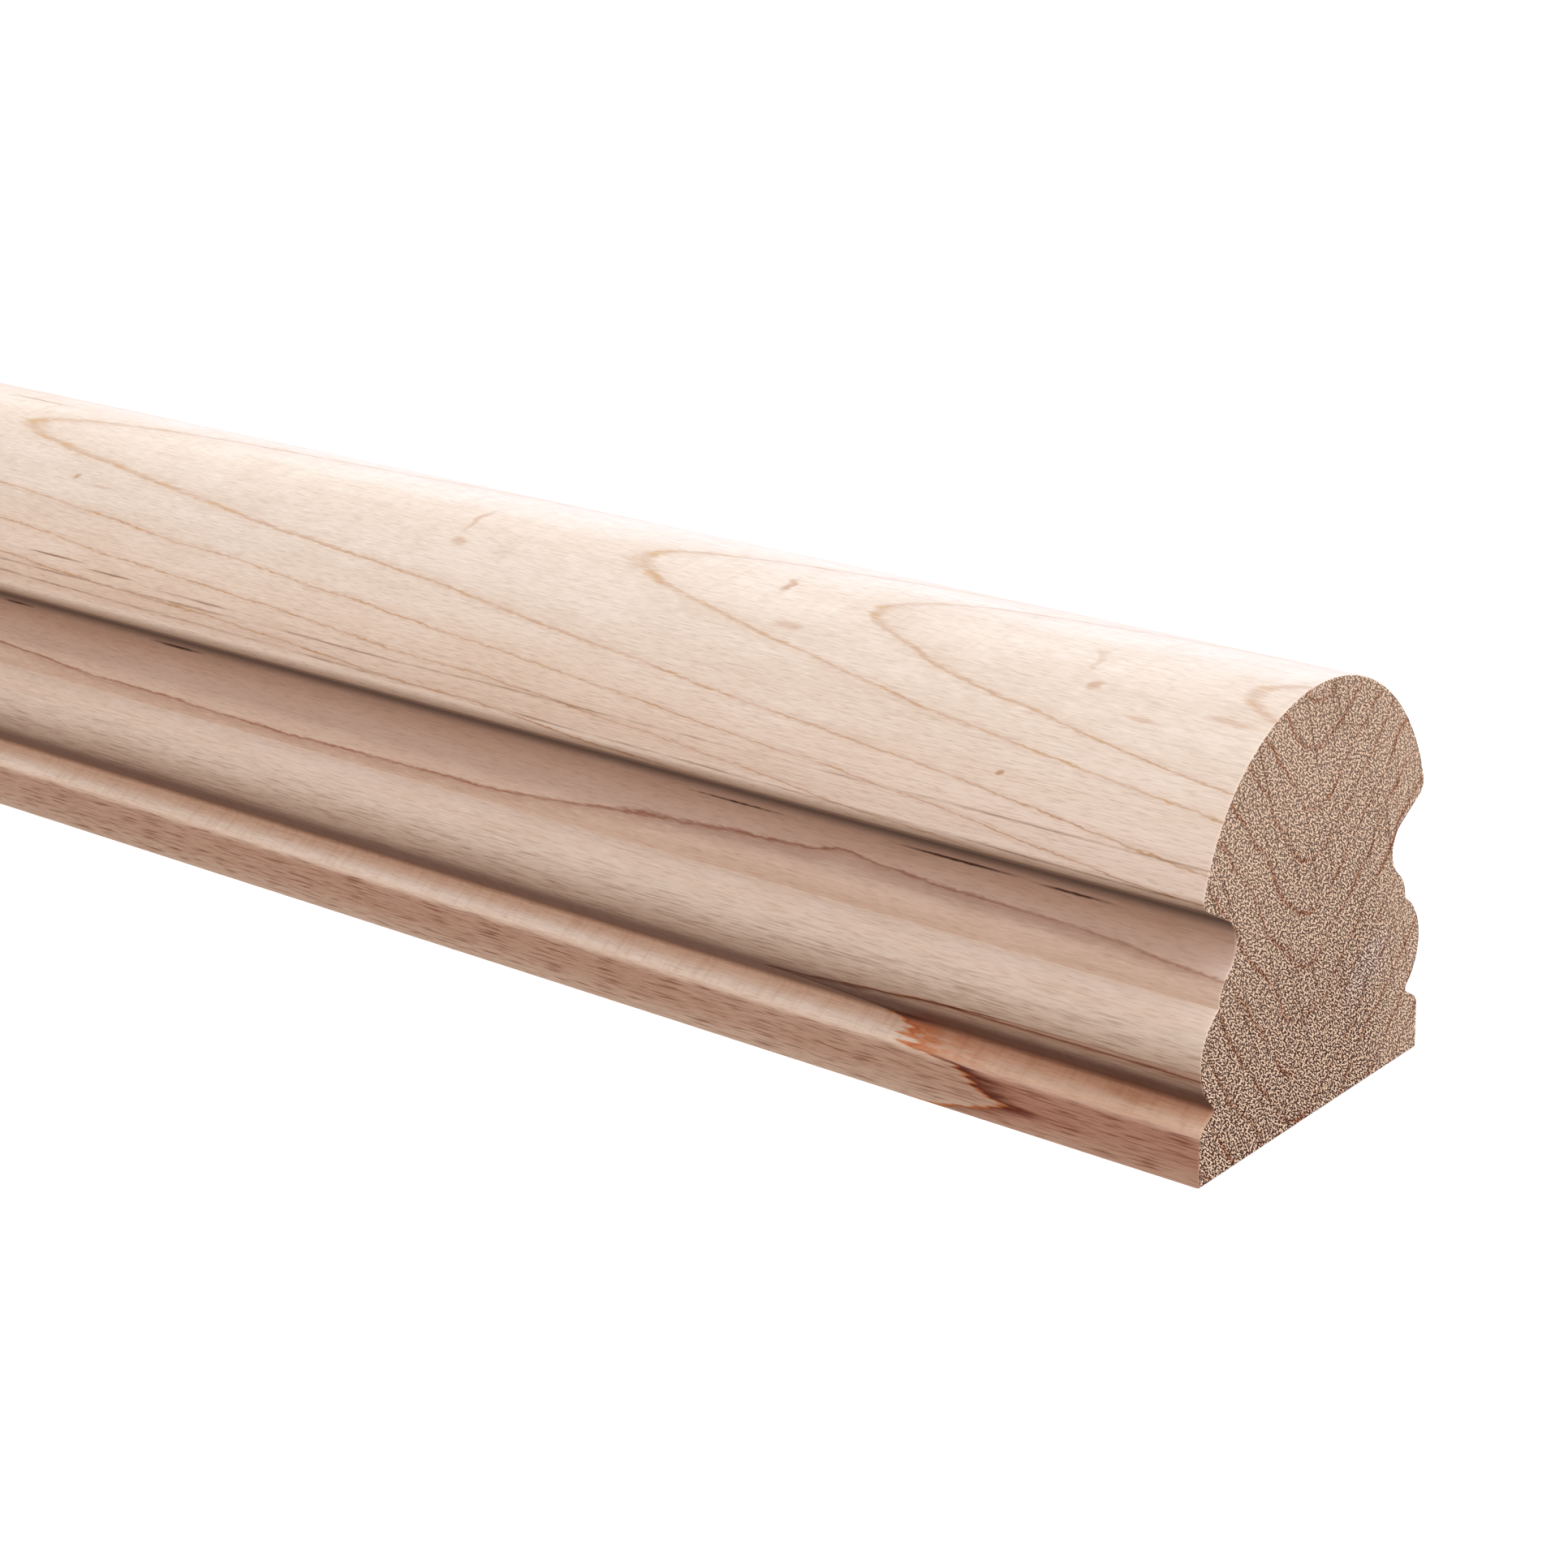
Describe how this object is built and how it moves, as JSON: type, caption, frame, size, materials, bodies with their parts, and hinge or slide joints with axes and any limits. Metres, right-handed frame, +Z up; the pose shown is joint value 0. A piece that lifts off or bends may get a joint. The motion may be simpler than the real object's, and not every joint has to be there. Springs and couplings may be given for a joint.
{
  "type": "stair handrail",
  "caption": "Straight moulded wooden stair handrail with a rounded grip, finger coves along both sides, a bead over a flat-bottomed base, and square-sawn ends.",
  "frame": {"origin": "middle of the flat base, half way along the rail", "axes": "+X along the rail towards the end seen in the picture, +Z up through the crown, +Y across the rail"},
  "size_m": [2.4384, 0.0572, 0.0635],
  "materials": {
    "maple": "bare planed maple, unfinished"
  },
  "bodies": {
    "root": {"handrail": "maple"}
  },
  "joints": []
}
